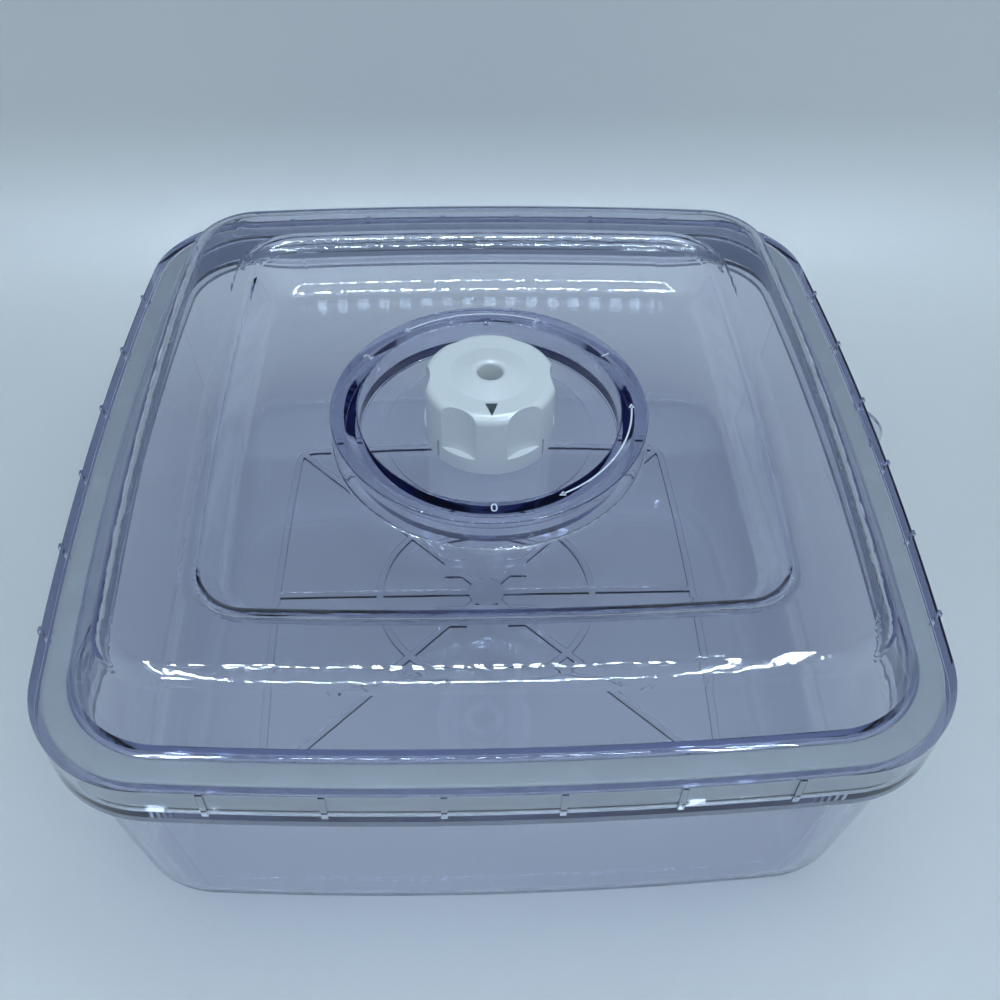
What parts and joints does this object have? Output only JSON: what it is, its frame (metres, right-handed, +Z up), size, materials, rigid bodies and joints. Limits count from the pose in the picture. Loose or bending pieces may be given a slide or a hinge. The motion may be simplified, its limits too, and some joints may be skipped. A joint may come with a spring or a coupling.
{
  "type": "vacuum seal canister",
  "caption": "Square clear vacuum canister with a lift-off lid, soft gasket and a white knob that turns to shut, pump or vent its air valve.",
  "frame": {"origin": "middle of the flat underside, on the knob's axis", "axes": "+Z up along the knob's axis, -Y to the front where the pointer is, +X to the side with the lift tab"},
  "size_m": [0.2557, 0.2464, 0.112],
  "materials": {
    "clear_pan": "clear moulded plastic with a faint lavender tint",
    "clear_lid": "clear moulded plastic with a faint lavender tint",
    "seal_grey": "soft grey silicone",
    "knob_white": "glossy white moulded plastic",
    "rubber_dark": "black rubber",
    "valve_plastic": "matt white plastic",
    "spring_steel": "bright spring wire"
  },
  "bodies": {
    "base": {"base_pan": "clear_pan"},
    "lid": {"lid": "clear_lid", "lid_seal": "seal_grey"},
    "knob": {"knob": "knob_white", "knob_o_ring": "rubber_dark"},
    "valve": {"valve_poppet": "valve_plastic", "valve_seal": "rubber_dark", "valve_spring": "spring_steel"}
  },
  "joints": [
    {"name": "lid_lift", "type": "slide", "parent": "base", "child": "lid", "axis": [0, 0, 1], "range_m": [0, 0.15]},
    {"name": "knob_turn", "type": "hinge", "parent": "lid", "child": "knob", "pos_m": [0, 0, 0.0883], "axis": [0, 0, 1], "range_deg": [0, 240]},
    {"name": "valve_lift", "type": "slide", "parent": "lid", "child": "valve", "axis": [0, 0, 1], "range_m": [0, 0.003], "deforming": ["valve_spring"]}
  ],
  "couplings": [
    {"joint": "valve_lift", "follows": "knob_turn", "m_per_rad": 0.000716}
  ]
}
